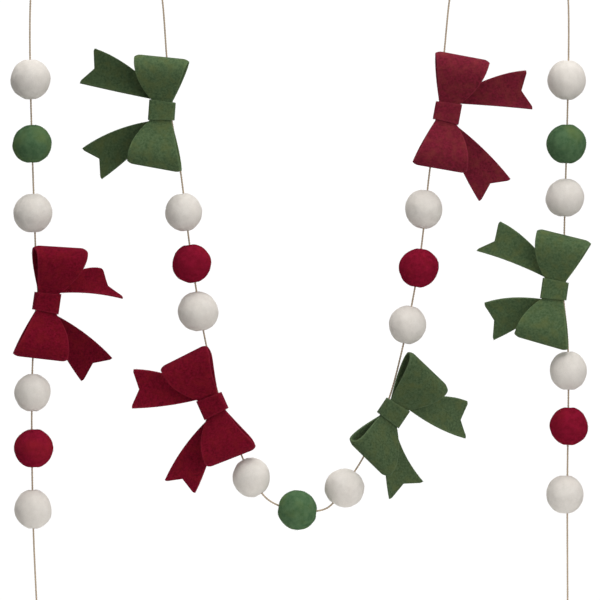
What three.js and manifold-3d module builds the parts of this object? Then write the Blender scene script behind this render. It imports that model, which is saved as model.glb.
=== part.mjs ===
// Felt bow garland: one jute string threaded through twenty-one felt balls, with a flat felt bow tied
// on after each run of three. It hangs in four strands from four points along its top line.
// Millimetres, +Z up. The origin is the middle of the top line, X is to the right, Y is to the back.

import * as THREE from 'three';
import { mergeVertices } from 'three/addons/utils/BufferGeometryUtils.js';
import Module from 'manifold-3d';

const wasm = await Module();
wasm.setup();

// Driving dimensions
const BALL = 26.4;
const STRING = 1.3;
const FELT = 1.5;
const CLEARANCE = 0.3;

// A bow, in its own frame: x towards its tails, y to its back, z along the string
const LAYER = FELT + CLEARANCE;
const WRAP_HALF_HEIGHT = 6.4;
const WRAP_FLARE = 0.06;
const PINCH = WRAP_HALF_HEIGHT + 0.9;
const WAIST = { string: 7.3, tails: 6.4 };
const FOLD = { string: 19, tails: 17.2 };
const FULLNESS = { string: 1.25, tails: 2.3 };
const LOOP_HELD = 1 / 11;
const LOOP_BACK = { rise: 0.5, lift: -0.1, shoulder: 1.1 };
const LOOP_FRONT = { fold: 0.36, brow: 1.3, belly: 0.55, rise: 0.43 };
const STRING_SEAT = new THREE.Vector3(-6.6, LAYER, 0);
const TAIL_ROOT = { string: -3.8, open: WAIST.tails };
const TAIL_HELD = 1 / 6;
const TAIL_BOW = 0.62;
const SWING = { start: 2, ease: 6 };
const WRAP_CORNER = 0.4;
const CORNER_STEPS = 3;
const ROWS = { loops: 44, tails: 24 };
const COLUMNS = 2;

// Steps of the round pieces, and the lumps of a ball: each one's height, pitch and change from ball to ball
const BORE_CLEARANCE = 1.1 * CLEARANCE;
const CORD_SIDES = 8;
const STEPS_PER_POINT = 2;
const BALL_DETAIL = 2;
const LUMPS = [
  { height: 0.012, pitch: new THREE.Vector3(3, 0, 0), change: 1.7 },
  { height: 0.01, pitch: new THREE.Vector3(0, 2.3, 4), change: 1 },
];

// Colours of the three felts and of the string
const FELTS = {
  white: { color: 0xded9d0, roughness: 0.95 },
  green: { color: 0x4a6a44, roughness: 0.95 },
  red: { color: 0x7d1226, roughness: 0.95 },
  jute: { color: 0xb39a7c, roughness: 0.9 },
};

// The string's route, from its left end, over the four points that hold it, to its right end
const ROUTE = [
  [-174.9, 0.0, -432.0],
  [-178.1, 0.0, -355.0],
  [-178.3, 1.5, -256.3],
  [-174.7, 0.0, -215.8],
  [-176.5, 2.0, -179.0],
  [-178.7, 0.0, -5.7],
  [-176.2, 0.0, -0.5],
  [-161.0, 0.0, -2.0],
  [-112.0, 0.0, -2.0],
  [-96.7, 0.0, -0.5],
  [-93.5, 0.0, -5.7],
  [-88.9, 2.0, -53.0],
  [-86.3, 0.0, -89.2],
  [-79.6, 2.0, -129.7],
  [-72.4, 0.0, -187.0],
  [-62.6, 2.0, -244.7],
  [-52.9, 0.0, -282.9],
  [-39.1, 2.0, -318.3],
  [-32.7, 0.5, -332.2],
  [-21.1, 0.0, -348.2],
  [-1.7, 0.0, -355.2],
  [18.0, 0.3, -353.7],
  [30.0, 0.5, -338.2],
  [42.0, 2.5, -320.3],
  [57.3, 0.0, -286.7],
  [69.1, 2.0, -244.0],
  [79.9, 0.0, -187.0],
  [86.7, 2.0, -127.3],
  [92.5, 0.0, -88.9],
  [96.2, 2.0, -49.7],
  [101.5, 0.0, -5.7],
  [104.5, 0.0, -0.5],
  [119.0, 0.0, -2.0],
  [161.0, 0.0, -2.0],
  [175.8, 0.0, -0.5],
  [178.0, 0.0, -5.7],
  [176.3, 2.0, -170.3],
  [175.4, 0.0, -209.0],
  [178.7, 2.0, -245.0],
  [178.2, 0.0, -345.7],
  [178.5, 0.0, -432.0],
];

// The balls along the string: each one's middle, and its width and height as shares of the usual
const BALLS = [
  { strand: 'left', felt: 'white', x: -178.0, z: -354.4, wide: 0.95, tall: 1.01 },
  { strand: 'left', felt: 'red', x: -177.7, z: -313.8, wide: 1.00, tall: 0.99 },
  { strand: 'left', felt: 'white', x: -178.3, z: -276.8, wide: 0.93, tall: 0.97 },
  { strand: 'left', felt: 'white', x: -178.2, z: -157.1, wide: 1.00, tall: 1.00 },
  { strand: 'left', felt: 'green', x: -178.6, z: -110.9, wide: 1.00, tall: 0.98 },
  { strand: 'left', felt: 'white', x: -179.6, z: -68.0, wide: 1.02, tall: 1.03 },
  { strand: 'middle', felt: 'white', x: -77.7, z: -156.5, wide: 0.94, tall: 0.97 },
  { strand: 'middle', felt: 'red', x: -72.2, z: -190.7, wide: 1.00, tall: 0.99 },
  { strand: 'middle', felt: 'white', x: -68.0, z: -222.6, wide: 1.02, tall: 1.02 },
  { strand: 'middle', felt: 'white', x: -32.4, z: -333.2, wide: 0.95, tall: 1.01 },
  { strand: 'middle', felt: 'green', x: -1.7, z: -355.0, wide: 1.00, tall: 1.02 },
  { strand: 'middle', felt: 'white', x: 29.7, z: -340.2, wide: 1.02, tall: 0.97 },
  { strand: 'middle', felt: 'white', x: 71.6, z: -231.4, wide: 0.95, tall: 0.98 },
  { strand: 'middle', felt: 'red', x: 79.2, z: -193.5, wide: 1.02, tall: 1.00 },
  { strand: 'middle', felt: 'white', x: 82.5, z: -154.5, wide: 0.95, tall: 1.00 },
  { strand: 'right', felt: 'white', x: 177.7, z: -68.5, wide: 0.98, tall: 1.02 },
  { strand: 'right', felt: 'green', x: 177.5, z: -111.0, wide: 1.02, tall: 1.01 },
  { strand: 'right', felt: 'white', x: 176.7, z: -146.8, wide: 0.98, tall: 0.98 },
  { strand: 'right', felt: 'white', x: 178.8, z: -262.1, wide: 0.95, tall: 0.99 },
  { strand: 'right', felt: 'red', x: 179.2, z: -299.1, wide: 0.98, tall: 0.98 },
  { strand: 'right', felt: 'white', x: 176.6, z: -344.6, wide: 0.95, tall: 0.98 },
];

// The bows: where the string passes through each wrap, which way its fore end heads, clockwise from
// up, and how far it is turned on the string. Each loop has its reach, its opening, its lean to the
// tails, its twist, its fold's tilt and how much narrower its fold is cut on the string side. Each tail
// has its way, length, cut, end width, notch and swing, and the bows of its outer and inner edges.
const BOWS = [
  {
    name: 'left', felt: 'red', seat: [-174.7, 0, -215.8], heading: 8.2, turn: 14,
    fore: { reach: 38.1, open: 17, lean: 3.6, twist: 6, tilt: 4.5, trim: 0 },
    aft: { reach: 37.8, open: 12, lean: 1, twist: -6, tilt: -1.5, trim: 0 },
    foreTail: { way: 23.2, length: 49, cut: 19, width: 24.1, notch: 4, swing: 16, arch: 19, hem: 3.5 },
    aftTail: { way: 44, length: 58.3, cut: 3, width: 26.5, notch: 6.2, swing: 8, arch: 13.5, hem: -4.5 },
  },
  {
    name: 'upper-left', felt: 'green', seat: [-86.3, 0, -89.2], heading: 184, turn: 6,
    fore: { reach: 38.5, open: 13, lean: 3, twist: 0, tilt: -6.4, trim: 0 },
    aft: { reach: 35.7, open: 14, lean: 3.4, twist: 0, tilt: 2, trim: 0 },
    foreTail: { way: 40.4, length: 60, cut: -3.4, width: 24.8, notch: 7, swing: 8, arch: 13.5, hem: -6 },
    aftTail: { way: 27, length: 60.2, cut: -8, width: 25.3, notch: 6.1, swing: 8, arch: 18, hem: -0.5 },
  },
  {
    name: 'lower-left', felt: 'red', seat: [-52.9, 0, -282.9], heading: 156, turn: 12,
    fore: { reach: 37.4, open: 15, lean: 2.8, twist: -9, tilt: -2.5, trim: 1.5 },
    aft: { reach: 38.3, open: 15.5, lean: 5.5, twist: -7, tilt: -2.7, trim: 2.2 },
    foreTail: { way: 43, length: 61, cut: 2, width: 22.6, notch: 6.6, swing: 6, arch: 13.5, hem: -5 },
    aftTail: { way: 34, length: 57.6, cut: -6.5, width: 26.7, notch: 5.4, swing: 9, arch: 18, hem: -2.5 },
  },
  {
    name: 'lower-right', felt: 'green', seat: [57.3, 0, -286.7], heading: 34, turn: 22,
    fore: { reach: 37.7, open: 19, lean: 1.8, twist: -2, tilt: -9, trim: 0 },
    aft: { reach: 36, open: 18, lean: 0.4, twist: 4, tilt: 9.6, trim: 0 },
    foreTail: { way: 25, length: 55.8, cut: 7, width: 25.3, notch: 5, swing: 8, arch: 18, hem: -4 },
    aftTail: { way: 43, length: 57.5, cut: -11, width: 26.4, notch: 6.3, swing: 6, arch: 13.5, hem: 5 },
  },
  {
    name: 'upper-right', felt: 'red', seat: [92.5, 0, -88.9], heading: 10.4, turn: 4,
    fore: { reach: 38.9, open: 13, lean: 5.4, twist: 0, tilt: 0, trim: 0 },
    aft: { reach: 38.2, open: 13, lean: 2, twist: 0, tilt: -0.6, trim: 0 },
    foreTail: { way: 26, length: 58.6, cut: -7, width: 26.2, notch: 6.2, swing: 10, arch: 18, hem: 0.5 },
    aftTail: { way: 48, length: 61.6, cut: -3, width: 26, notch: 6.4, swing: 6, arch: 13.5, hem: -3.5 },
  },
  {
    name: 'right', felt: 'green', seat: [175.4, 0, -209.0], heading: 188, turn: 8,
    fore: { reach: 36.8, open: 12, lean: 6.8, twist: 0, tilt: -8, trim: 0 },
    aft: { reach: 37.2, open: 14, lean: -3.8, twist: 0, tilt: 6, trim: 0 },
    foreTail: { way: 33, length: 50.3, cut: -11, width: 25.6, notch: 4.3, swing: 14, arch: 13.5, hem: -4.5 },
    aftTail: { way: 31, length: 58.3, cut: 0, width: 25.3, notch: 6.4, swing: 8, arch: 18, hem: 2.5 },
  },
];

const KNOTS = [
  { name: 'left', x: -175.3, z: -424 },
  { name: 'right', x: 178.5, z: -424 },
];
const KNOT_RADIUS = 2.3;
const KNOT_SHAPE = new THREE.Vector3(1, 0.9, 1.25);

const rad = THREE.MathUtils.degToRad;
const garland = new THREE.Group();

function felt(name) {
  return new THREE.MeshStandardMaterial({ name, metalness: 0, ...FELTS[name] });
}

// Solids are cut with the string's bore, which leaves the usual clearance round the string
function toManifold(geometry) {
  const bare = geometry.clone();
  bare.deleteAttribute('normal');
  bare.deleteAttribute('uv');
  const merged = mergeVertices(bare, 1e-4);
  return new wasm.Manifold(
    new wasm.Mesh({
      numProp: 3,
      vertProperties: new Float32Array(merged.attributes.position.array),
      triVerts: new Uint32Array(merged.index.array),
    }),
  );
}

function toGeometry(solid) {
  const mesh = solid.getMesh();
  const geometry = new THREE.BufferGeometry();
  geometry.setAttribute('position', new THREE.BufferAttribute(mesh.vertProperties, 3));
  geometry.setIndex(new THREE.BufferAttribute(mesh.triVerts, 1));
  geometry.computeVertexNormals();
  return geometry;
}

// The string: a round cord whose steps fall evenly between the points of its route
class Route extends THREE.CatmullRomCurve3 {
  getPointAt(u, target) {
    return this.getPoint(u, target);
  }

  getTangentAt(u, target) {
    return this.getTangent(u, target);
  }
}

function cord(radius) {
  const corners = Array.from({ length: CORD_SIDES }, (_, i) => {
    const angle = (i / CORD_SIDES) * 2 * Math.PI;
    return new THREE.Vector2(radius * Math.cos(angle), radius * Math.sin(angle));
  });
  const route = new Route(ROUTE.map((p) => new THREE.Vector3(...p)), false, 'centripetal');
  return new THREE.ExtrudeGeometry(new THREE.Shape(corners), {
    steps: STEPS_PER_POINT * (ROUTE.length - 1),
    extrudePath: route,
    bevelEnabled: false,
  });
}

const string = new THREE.Mesh(cord(STRING / 2), felt('jute'));
string.name = 'string';
garland.add(string);

const bore = toManifold(cord(STRING / 2 + BORE_CLEARANCE));

// A felt ball, rolled by hand and so a little lumpy, threaded on the string
function ballGeometry(row, index) {
  const ball = new THREE.IcosahedronGeometry(BALL / 2, BALL_DETAIL);
  const at = ball.attributes.position;
  const p = new THREE.Vector3();
  for (let i = 0; i < at.count; i += 1) {
    p.fromBufferAttribute(at, i);
    const n = p.clone().normalize();
    const lumps = LUMPS.map((lump) => lump.height * Math.sin(lump.pitch.dot(n) + lump.change * index));
    p.multiplyScalar(1 + lumps[0] + lumps[1]);
    p.multiply(new THREE.Vector3(row.wide, row.wide, row.tall));
    at.setXYZ(i, p.x, p.y, p.z);
  }
  return ball;
}

BALLS.forEach((row, index) => {
  const geometry = ballGeometry(row, index);
  const centre = [row.x, 0, row.z];
  geometry.translate(...centre);
  const drilled = toGeometry(toManifold(geometry).subtract(bore));
  drilled.translate(...centre.map((value) => -value));
  const mesh = new THREE.Mesh(drilled, felt(row.felt));
  const place = BALLS.slice(0, index + 1).filter((other) => other.strand === row.strand).length;
  mesh.name = `ball-${row.strand}-${place}`;
  mesh.position.set(...centre);
  garland.add(mesh);
});

// A piece of felt: middle(u, v) is its middle surface, u along it and v from edge to edge
function feltGeometry(rows, columns, middle) {
  const step = 1e-3;
  const front = [];
  const back = [];
  for (let i = 0; i <= rows; i += 1) {
    for (let j = 0; j <= columns; j += 1) {
      const u = i / rows;
      const v = (2 * j) / columns - 1;
      const centre = middle(u, v);
      const along = middle(Math.min(1, u + step), v).sub(middle(Math.max(0, u - step), v));
      const across = middle(u, Math.min(1, v + step)).sub(middle(u, Math.max(-1, v - step)));
      const normal = along.cross(across).normalize().multiplyScalar(FELT / 2);
      front.push(centre.clone().add(normal));
      back.push(centre.clone().sub(normal));
    }
  }
  const points = [...front, ...back];
  const other = front.length;
  const at = (i, j) => i * (columns + 1) + j;
  const index = [];
  const quad = (a, b, c, d) => index.push(a, b, c, a, c, d);
  for (let i = 0; i < rows; i += 1) {
    for (let j = 0; j < columns; j += 1) {
      quad(at(i, j), at(i + 1, j), at(i + 1, j + 1), at(i, j + 1));
      quad(other + at(i, j), other + at(i, j + 1), other + at(i + 1, j + 1), other + at(i + 1, j));
    }
  }
  for (let i = 0; i < rows; i += 1) {
    quad(at(i, 0), other + at(i, 0), other + at(i + 1, 0), at(i + 1, 0));
    quad(at(i, columns), at(i + 1, columns), other + at(i + 1, columns), other + at(i, columns));
  }
  for (let j = 0; j < columns; j += 1) {
    quad(at(0, j), at(0, j + 1), other + at(0, j + 1), other + at(0, j));
    quad(at(rows, j), other + at(rows, j), other + at(rows, j + 1), at(rows, j + 1));
  }
  const geometry = new THREE.BufferGeometry().setFromPoints(points);
  geometry.setIndex(index);
  geometry.computeVertexNormals();
  return geometry;
}

// One loop in section, from the middle of the back, round the fold, to the middle of the front: two
// bulging stretches between two short flat ones, which the wrap holds
function loopSection(loop, u) {
  const deep = -loop.open;
  const far = loop.reach - FELT / 2;
  const point = (z, y) => new THREE.Vector2(z, y);
  if (u <= LOOP_HELD) {
    return point(CLEARANCE, 0).lerp(point(PINCH, 0), u / LOOP_HELD);
  }
  if (u >= 1 - LOOP_HELD) {
    return point(0, -LAYER).lerp(point(PINCH, -LAYER), (1 - u) / LOOP_HELD);
  }
  const fold = point(far, LOOP_FRONT.fold * deep);
  const back = new THREE.CubicBezierCurve(
    point(PINCH, 0),
    point(LOOP_BACK.rise * far, LOOP_BACK.lift),
    point(far, LOOP_BACK.shoulder),
    fold,
  );
  const front = new THREE.CubicBezierCurve(
    fold,
    point(far, LOOP_FRONT.brow * deep),
    point(LOOP_FRONT.rise * far, LOOP_FRONT.belly * deep),
    point(PINCH, -LAYER),
  );
  const t = (2 * (u - LOOP_HELD)) / (1 - 2 * LOOP_HELD);
  return t < 1 ? back.getPoint(t) : front.getPoint(t - 1);
}

// A point of a loop: the strip flares from its waist to its fold, leans to the tails and twists
function loopPoint(loop, u, v) {
  const flat = loopSection(loop, u);
  const reach = Math.max(0, flat.x - PINCH);
  const grown = Math.min(1, reach / (loop.reach - FELT / 2 - PINCH));
  const side = v < 0 ? 'string' : 'tails';
  const spread = FOLD[side] - WAIST[side] - (v < 0 ? loop.trim : 0);
  const half = WAIST[side] + spread * (1 - (1 - grown) ** FULLNESS[side]);
  const x = v * half;
  const y = flat.y;
  const twist = rad(loop.twist) * grown;
  return new THREE.Vector3(
    x * Math.cos(twist) - y * Math.sin(twist) + reach * Math.tan(rad(loop.lean)),
    x * Math.sin(twist) + y * Math.cos(twist),
    flat.x + x * Math.tan(rad(loop.tilt)) * grown,
  );
}

// Both loops are one strip, whose ends meet under the wrap at the back
function loopsGeometry(bow) {
  return feltGeometry(ROWS.loops, COLUMNS, (u, v) => {
    if (u <= 0.5) {
      return loopPoint(bow.fore, 2 * u, v);
    }
    const point = loopPoint(bow.aft, 2 - 2 * u, v);
    return point.setZ(-point.z);
  });
}

// One tail: its two edges leave the wrap and spread to a notched end
function tailPoint(tail, t, v) {
  const along = new THREE.Vector2(Math.cos(rad(tail.way)), Math.sin(rad(tail.way)));
  const across = new THREE.Vector2(-along.y, along.x);
  const spread = across.clone().rotateAround(new THREE.Vector2(), rad(tail.cut));
  const end = along.clone().multiplyScalar(tail.length);
  const notch = end.clone().addScaledVector(new THREE.Vector2(spread.y, -spread.x), -tail.notch);
  const outerTip = end.clone().addScaledVector(spread, tail.width / 2);
  const innerTip = end.clone().addScaledVector(spread, -tail.width / 2);
  const outerRoot = new THREE.Vector2(TAIL_ROOT.string, PINCH);
  const innerRoot = new THREE.Vector2(TAIL_ROOT.open, PINCH);
  const outerBow = along.clone().multiplyScalar(TAIL_BOW * tail.length).addScaledVector(across, tail.arch);
  const innerBow = innerRoot.clone().lerp(innerTip, 0.5).addScaledVector(across, tail.hem);
  const outer = new THREE.QuadraticBezierCurve(outerRoot, outerBow, outerTip).getPoint(t);
  const inner = new THREE.QuadraticBezierCurve(innerRoot, innerBow, innerTip).getPoint(t);
  const flat = inner.lerp(outer, (v + 1) / 2);
  const dent = notch.clone().sub(end).multiplyScalar((1 - Math.abs(v)) * t * t);
  return flat.add(dent);
}

// Both tails are one flat piece, cut to a chevron, that crosses behind the loops under the wrap
function tailsGeometry(bow) {
  return feltGeometry(ROWS.tails, COLUMNS, (u, v) => {
    const side = u < 0.5 ? -1 : 1;
    const tail = side < 0 ? bow.aftTail : bow.foreTail;
    const far = Math.abs(2 * u - 1);
    let flat = new THREE.Vector2(
      THREE.MathUtils.lerp(TAIL_ROOT.open, TAIL_ROOT.string, (v + 1) / 2),
      (PINCH * far) / TAIL_HELD,
    );
    if (far > TAIL_HELD) {
      flat = tailPoint(tail, (far - TAIL_HELD) / (1 - TAIL_HELD), v);
    }
    const eased = 1 - Math.exp(-Math.max(0, flat.y - PINCH) / SWING.ease);
    const out = Math.max(0, flat.x - SWING.start) * eased;
    const inward = out * (1 - Math.cos(rad(tail.swing)));
    return new THREE.Vector3(flat.x - inward, LAYER + out * Math.sin(rad(tail.swing)), side * flat.y);
  });
}

// The wrap: a narrow strip round the waist of the bow, a little longer on the tails' side
function wrapGeometry() {
  const innerWidth = (WAIST.string + WAIST.tails) / 2 + CLEARANCE;
  const innerDepth = LAYER + FELT / 2 + CLEARANCE;
  const ring = (width, depth, corner) => {
    const outline = new THREE.Path();
    outline.moveTo(width, corner - depth);
    outline.lineTo(width, depth - corner);
    outline.absarc(width - corner, depth - corner, corner, 0, Math.PI / 2);
    outline.lineTo(corner - width, depth);
    outline.absarc(corner - width, depth - corner, corner, Math.PI / 2, Math.PI);
    outline.lineTo(-width, corner - depth);
    outline.absarc(corner - width, corner - depth, corner, Math.PI, 1.5 * Math.PI);
    outline.lineTo(width - corner, -depth);
    outline.absarc(width - corner, corner - depth, corner, 1.5 * Math.PI, 2 * Math.PI);
    return outline.getPoints(CORNER_STEPS);
  };
  const shape = new THREE.Shape(ring(innerWidth + FELT, innerDepth + FELT, FELT + WRAP_CORNER));
  shape.holes.push(new THREE.Path(ring(innerWidth, innerDepth, WRAP_CORNER)));
  const geometry = new THREE.ExtrudeGeometry(shape, {
    depth: 2 * WRAP_HALF_HEIGHT,
    steps: 1,
    bevelEnabled: false,
  });
  geometry.translate((WAIST.tails - WAIST.string) / 2, 0, -WRAP_HALF_HEIGHT);
  const at = geometry.attributes.position;
  for (let i = 0; i < at.count; i += 1) {
    at.setZ(i, at.getZ(i) + Math.sign(at.getZ(i)) * WRAP_FLARE * at.getX(i));
  }
  return geometry;
}

BOWS.forEach((bow) => {
  const group = new THREE.Group();
  group.rotation.set(0, rad(bow.heading), rad(bow.turn));
  group.position.set(...bow.seat).sub(STRING_SEAT.clone().applyEuler(group.rotation));
  group.updateMatrix();
  const back = group.matrix.clone().invert();
  const pieces = {
    loops: loopsGeometry(bow),
    tails: tailsGeometry(bow),
    wrap: toGeometry(
      toManifold(wrapGeometry().applyMatrix4(group.matrix)).subtract(bore),
    ).applyMatrix4(back),
  };
  Object.entries(pieces).forEach(([piece, geometry]) => {
    const mesh = new THREE.Mesh(geometry, felt(bow.felt));
    mesh.name = `bow-${bow.name}-${piece}`;
    group.add(mesh);
  });
  garland.add(group);
});

// A stop knot near each end of the string
KNOTS.forEach((row) => {
  const knot = new THREE.IcosahedronGeometry(KNOT_RADIUS, 1);
  knot.scale(...KNOT_SHAPE);
  const centre = [row.x, 0, row.z];
  const tied = toGeometry(toManifold(knot.translate(...centre)).subtract(bore));
  const mesh = new THREE.Mesh(tied.translate(...centre.map((value) => -value)), felt('jute'));
  mesh.name = `knot-${row.name}`;
  mesh.position.set(...centre);
  garland.add(mesh);
});

export default garland;
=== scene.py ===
import math
import random

import bpy
import numpy as np
from mathutils import Matrix, Vector


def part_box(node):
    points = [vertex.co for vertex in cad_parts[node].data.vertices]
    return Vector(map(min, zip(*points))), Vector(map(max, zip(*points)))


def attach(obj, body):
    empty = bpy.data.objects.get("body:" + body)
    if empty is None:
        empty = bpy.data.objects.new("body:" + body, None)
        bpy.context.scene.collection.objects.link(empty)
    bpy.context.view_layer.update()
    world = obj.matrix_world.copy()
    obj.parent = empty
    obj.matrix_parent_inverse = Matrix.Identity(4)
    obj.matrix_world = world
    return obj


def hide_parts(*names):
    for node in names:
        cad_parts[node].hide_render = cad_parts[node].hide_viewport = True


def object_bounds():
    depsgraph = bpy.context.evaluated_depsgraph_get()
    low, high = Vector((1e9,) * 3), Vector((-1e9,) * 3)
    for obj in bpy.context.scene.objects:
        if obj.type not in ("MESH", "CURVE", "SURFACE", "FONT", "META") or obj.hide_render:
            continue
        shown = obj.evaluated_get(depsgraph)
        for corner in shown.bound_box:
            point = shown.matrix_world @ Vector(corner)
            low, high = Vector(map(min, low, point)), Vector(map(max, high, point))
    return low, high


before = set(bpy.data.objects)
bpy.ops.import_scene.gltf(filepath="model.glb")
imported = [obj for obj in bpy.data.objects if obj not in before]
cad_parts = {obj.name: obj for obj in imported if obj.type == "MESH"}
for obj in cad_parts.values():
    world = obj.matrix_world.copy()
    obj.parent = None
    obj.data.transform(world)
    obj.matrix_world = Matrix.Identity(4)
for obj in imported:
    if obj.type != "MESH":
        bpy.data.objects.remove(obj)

cad_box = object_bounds()
MM = 0.001

# The garland is seen straight on, from far enough away that every bow shows its own front.
# The frame cuts off the strings above, where they are held, and below, where they are knotted.
VIEW_WIDTH = 400 * MM
VIEW_MIDDLE = (0, 0, -215 * MM)
VIEW_DISTANCE = 3.5
SENSOR_WIDTH = 36

bpy.ops.object.camera_add(
    location=(VIEW_MIDDLE[0], -VIEW_DISTANCE, VIEW_MIDDLE[2]), rotation=(math.pi / 2, 0, 0))
camera = bpy.context.object
camera.data.sensor_width = SENSOR_WIDTH
camera.data.lens = SENSOR_WIDTH * VIEW_DISTANCE / VIEW_WIDTH
bpy.context.scene.camera = camera

# The string is jute twine, two plies twisted together. It is threaded through every ball and
# through the wrap of every bow, and four points along its top line hold it.
TWINE = 1.3 * MM
TWINE_LAY = 3.4 * MM
PLY_VALLEY = 0.66
RING_STEP = 0.5 * MM
RING_SIDES = 12
CURVE_STEPS = 100
STRAYS_ON_TWINE = 900
FIBRE_STATIONS = 4
FIBRE_ARC = 1.9
FIBRE_TAPER = 0.75
FINE_FIBRE = 0.035 * MM
ROUTE = [
    (-174.9, 0, -432), (-178.1, 0, -355), (-178.3, 1.5, -256.3), (-174.7, 0, -215.8),
    (-176.5, 2, -179), (-178.7, 0, -5.7), (-176.2, 0, -0.5), (-161, 0, -2), (-112, 0, -2),
    (-96.7, 0, -0.5), (-93.5, 0, -5.7), (-88.9, 2, -53), (-86.3, 0, -89.2), (-79.6, 2, -129.7),
    (-72.4, 0, -187), (-62.6, 2, -244.7), (-52.9, 0, -282.9), (-39.1, 2, -318.3),
    (-32.7, 0.5, -332.2), (-21.1, 0, -348.2), (-1.7, 0, -355.2), (18, 0.3, -353.7),
    (30, 0.5, -338.2), (42, 2.5, -320.3), (57.3, 0, -286.7), (69.1, 2, -244), (79.9, 0, -187),
    (86.7, 2, -127.3), (92.5, 0, -88.9), (96.2, 2, -49.7), (101.5, 0, -5.7), (104.5, 0, -0.5),
    (119, 0, -2), (161, 0, -2), (175.8, 0, -0.5), (178, 0, -5.7), (176.3, 2, -170.3),
    (175.4, 0, -209), (178.7, 2, -245), (178.2, 0, -345.7), (178.5, 0, -432),
]


def unit(vectors):
    return vectors / np.maximum(np.linalg.norm(vectors, axis=-1, keepdims=True), 1e-12)


def smooth_line(points, step):
    """A centripetal Catmull-Rom line through the points, with a point every step."""
    points = np.array(points, float)
    points = np.vstack([2 * points[0] - points[1], points, 2 * points[-1] - points[-2]])
    line = []
    for a, b, c, d in zip(points, points[1:], points[2:], points[3:]):
        ab, bc, cd = (np.sqrt(np.linalg.norm(q - p)) for p, q in ((a, b), (b, c), (c, d)))
        start = ((b - a) / ab - (c - a) / (ab + bc) + (c - b) / bc) * bc
        stop = ((c - b) / bc - (d - b) / (bc + cd) + (d - c) / cd) * bc
        t = np.linspace(0, 1, CURVE_STEPS, endpoint=False)[:, None]
        line.append(b + start * t + (3 * (c - b) - 2 * start - stop) * t**2
                    + (2 * (b - c) + start + stop) * t**3)
    line = np.vstack([*line, points[-2:-1]])
    along = np.concatenate([[0], np.cumsum(np.linalg.norm(np.diff(line, axis=0), axis=1))])
    even = np.linspace(0, along[-1], int(round(along[-1] / step)) + 1)
    return np.stack([np.interp(even, along, line[:, k]) for k in range(3)], axis=1), even


def mesh_piece(name, points, faces, material):
    mesh = bpy.data.meshes.new(name)
    mesh.from_pydata([tuple(p) for p in points], [], faces)
    mesh.update()
    mesh.materials.append(material)
    piece = bpy.data.objects.new(name, mesh)
    bpy.context.scene.collection.objects.link(piece)
    mesh.polygons.foreach_set("use_smooth", [True] * len(mesh.polygons))
    return piece


def twisted_cord(centres, along, radius, lay, sides, closed=False):
    """Rings of a two-ply cord: its points, its faces and each corner's place on the ply."""
    if closed:
        tangents = unit(np.roll(centres, -1, axis=0) - np.roll(centres, 1, axis=0))
    else:
        tangents = unit(np.gradient(centres, axis=0))
    first = unit(np.cross(np.array([0.0, 1.0, 0.13]), tangents))
    second = np.cross(tangents, first)
    rings = []
    for k in range(sides):
        angle = 2 * math.pi * k / sides
        bulge = PLY_VALLEY + (1 - PLY_VALLEY) * np.abs(np.cos(angle - 2 * math.pi * along / lay))
        reach = (radius * bulge)[:, None]
        rings.append(centres + first * reach * math.cos(angle) + second * reach * math.sin(angle))
    points = np.stack(rings, axis=1).reshape(-1, 3)
    faces, places = [], []
    last = len(centres) if closed else len(centres) - 1
    for i in range(last):
        j = (i + 1) % len(centres)
        for k in range(sides):
            m = (k + 1) % sides
            faces.append((i * sides + k, i * sides + m, j * sides + m, j * sides + k))
            ends = along[i], along[i] + (along[1] - along[0])
            turns = [end / lay for end in ends]
            places += [(k / sides - turns[0], ends[0]), ((k + 1) / sides - turns[0], ends[0]),
                       ((k + 1) / sides - turns[1], ends[1]), (k / sides - turns[1], ends[1])]
    if not closed:
        far = (len(centres) - 1) * sides
        faces += [tuple(range(sides))[::-1], tuple(far + k for k in range(sides))]
        places += [(0, 0)] * (2 * sides)
    return points, faces, places


def stray_fibres(roots, outward, lengths, width, seed, lift, curl):
    """Loose fibres that leave a surface and curl over it, each a closed spike of three sides."""
    chance = np.random.default_rng(seed)
    count = len(roots)
    ahead = unit(np.cross(outward, unit(chance.normal(size=(count, 3)))))
    side = np.cross(outward, ahead)
    bend = chance.normal(0, curl, size=(count, 1))
    points, faces = [], []
    spine = []
    for s in range(FIBRE_STATIONS + 1):
        t = s / FIBRE_STATIONS
        rise = lift * chance.uniform(0.3, 1, size=(count, 1)) * math.sin(FIBRE_ARC * t)
        offset = ahead * t + side * bend * t * t / 2 + outward * rise
        spine.append(roots + lengths[:, None] * offset)
    for s in range(FIBRE_STATIONS):
        thin = width * (1 - FIBRE_TAPER * s / FIBRE_STATIONS)
        for k in range(3):
            a = 2 * math.pi * k / 3
            points.append(spine[s] + thin * (outward * math.cos(a) + side * math.sin(a)))
    points.append(spine[-1])
    points = np.stack(points, axis=1)
    per = 3 * FIBRE_STATIONS + 1
    shape = [(2, 1, 0)]
    for s in range(FIBRE_STATIONS - 1):
        for k in range(3):
            m = (k + 1) % 3
            shape.append((3 * s + k, 3 * s + m, 3 * s + 3 + m, 3 * s + 3 + k))
    for k in range(3):
        shape.append((per - 4 + k, per - 4 + (k + 1) % 3, per - 1))
    for i in range(count):
        faces += [tuple(i * per + c for c in face) for face in shape]
    return points.reshape(-1, 3), faces


def join_parts(parts):
    points, faces, start = [], [], 0
    for some_points, some_faces in parts:
        points.append(some_points)
        faces += [tuple(start + c for c in face) for face in some_faces]
        start += len(some_points)
    return np.vstack(points), faces


def lay_uv(piece, name, places):
    layer = piece.data.uv_layers.new(name=name)
    flat = np.zeros((len(piece.data.loops), 2), np.float32)
    flat[: len(places)] = np.array(places, np.float32)
    layer.data.foreach_set("uv", flat.ravel())


def shader(name):
    material = bpy.data.materials.new(name)
    material.use_nodes = True
    nodes, links = material.node_tree.nodes, material.node_tree.links
    return material, nodes, links, nodes["Principled BSDF"]


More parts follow.
